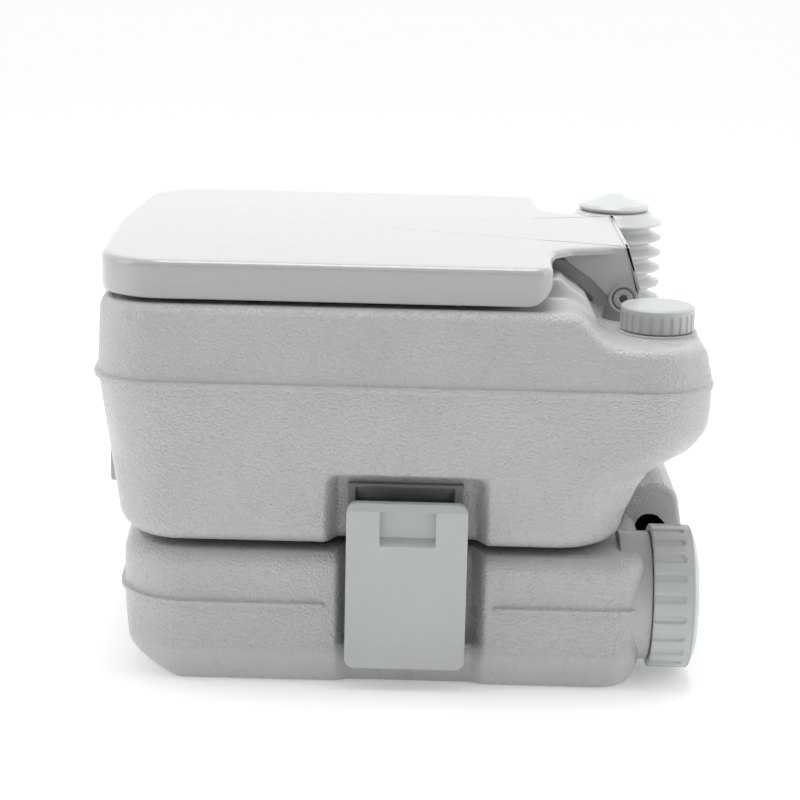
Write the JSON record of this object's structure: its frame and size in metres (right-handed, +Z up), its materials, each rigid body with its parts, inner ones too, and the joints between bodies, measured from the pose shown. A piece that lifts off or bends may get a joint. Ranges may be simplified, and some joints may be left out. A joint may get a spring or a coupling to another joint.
{
  "type": "portable cassette toilet",
  "caption": "Portable toilet: flush tank with bowl, seat, lid and bellows pump, latched on a waste holding tank with slide valve and capped spout.",
  "frame": {"origin": "on the floor, in the middle of the footprint of the two tanks", "axes": "+Z up, +Y towards the rear (pump, filler and spout), -Y the front (slide-valve handle), +X the side with the filler and spout"},
  "size_m": [0.365, 0.42, 0.2968],
  "materials": {
    "tank": "blow-moulded polyethylene with a fine leather grain",
    "lid": "smooth injection-moulded polypropylene",
    "bellows": "soft satin polyethylene",
    "cap": "satin injection-moulded polypropylene",
    "valve": "smooth polypropylene",
    "insert": "darker matt insert",
    "rubber": "black moulded rubber",
    "hose": "milky flexible tube",
    "steel": "plain stainless steel"
  },
  "bodies": {
    "holding_tank": {"holding_tank": "tank", "valve_gasket": "rubber", "valve_body": "valve", "valve_cover": "valve", "valve_lip_seal": "rubber", "valve_screws": "steel", "latch_pins": "steel"},
    "valve_slide": {"valve_blade": "valve", "valve_handle": "cap", "handle_pin": "steel"},
    "latch_left": {"latch_left": "cap"},
    "latch_right": {"latch_right": "cap"},
    "drain_seal": {"drain_cap_seal": "rubber"},
    "drain_cap": {"drain_cap": "cap"},
    "flush_unit": {"flush_tank": "tank", "keeper_left": "insert", "keeper_right": "insert", "hinge_pins": "cap", "pump_base": "cap", "pump_intake_flap": "rubber", "pump_outlet_flap": "rubber", "pump_collar": "cap", "pump_bellows": "bellows", "suction_tube": "hose", "suction_strainer": "cap", "delivery_hose": "hose", "flush_nozzle": "cap", "nozzle_nut": "cap", "hose_clips": "steel"},
    "seat": {"seat_ring": "lid", "seat_buffers": "rubber"},
    "lid": {"lid": "lid", "lid_buffers": "rubber"},
    "pump_dome": {"pump_dome": "bellows"},
    "filler_seal": {"filler_cap_seal": "rubber"},
    "filler_cap": {"filler_cap": "cap"}
  },
  "joints": [
    {"name": "lift_off", "type": "slide", "parent": "holding_tank", "child": "flush_unit", "axis": [0, 0, 1], "range_m": [0, 0.12]},
    {"name": "seat_hinge", "type": "hinge", "parent": "flush_unit", "child": "seat", "pos_m": [0, 0.151, 0.249], "axis": [1, 0, 0], "range_deg": [-95, 0]},
    {"name": "lid_hinge", "type": "hinge", "parent": "seat", "child": "lid", "pos_m": [0, 0.151, 0.249], "axis": [-1, 0, 0], "range_deg": [0, 100]},
    {"name": "pump_press", "type": "slide", "parent": "flush_unit", "child": "pump_dome", "axis": [0, 0, -1], "range_m": [0, 0.048], "stiffness_N_per_m": 300, "springref_m": -0.01, "deforming": ["pump_bellows"]},
    {"name": "filler_seal_rise", "type": "slide", "parent": "flush_unit", "child": "filler_seal", "axis": [0, 0, 1], "range_m": [0, 0.0101]},
    {"name": "filler_cap_turn", "type": "hinge", "parent": "filler_seal", "child": "filler_cap", "pos_m": [0.108, 0.171, 0.24], "axis": [0, 0, 1], "range_deg": [0, 720]},
    {"name": "drain_seal_rise", "type": "slide", "parent": "holding_tank", "child": "drain_seal", "axis": [0, 1, 0], "range_m": [0, 0.0121]},
    {"name": "drain_cap_turn", "type": "hinge", "parent": "drain_seal", "child": "drain_cap", "pos_m": [0.125, 0.18, 0.053], "axis": [0, 1, 0], "range_deg": [0, 720]},
    {"name": "valve_pull", "type": "slide", "parent": "holding_tank", "child": "valve_slide", "axis": [0, -1, 0], "range_m": [0, 0.098]},
    {"name": "latch_left_hinge", "type": "hinge", "parent": "holding_tank", "child": "latch_left", "pos_m": [-0.171, 0.006, 0.024], "axis": [0, -1, 0], "range_deg": [0, 35]},
    {"name": "latch_right_hinge", "type": "hinge", "parent": "holding_tank", "child": "latch_right", "pos_m": [0.171, 0.006, 0.024], "axis": [0, 1, 0], "range_deg": [0, 35]}
  ],
  "couplings": [
    {"joint": "filler_seal_rise", "follows": "filler_cap_turn", "m_per_rad": 0.00079577},
    {"joint": "drain_seal_rise", "follows": "drain_cap_turn", "m_per_rad": 0.00095493}
  ]
}
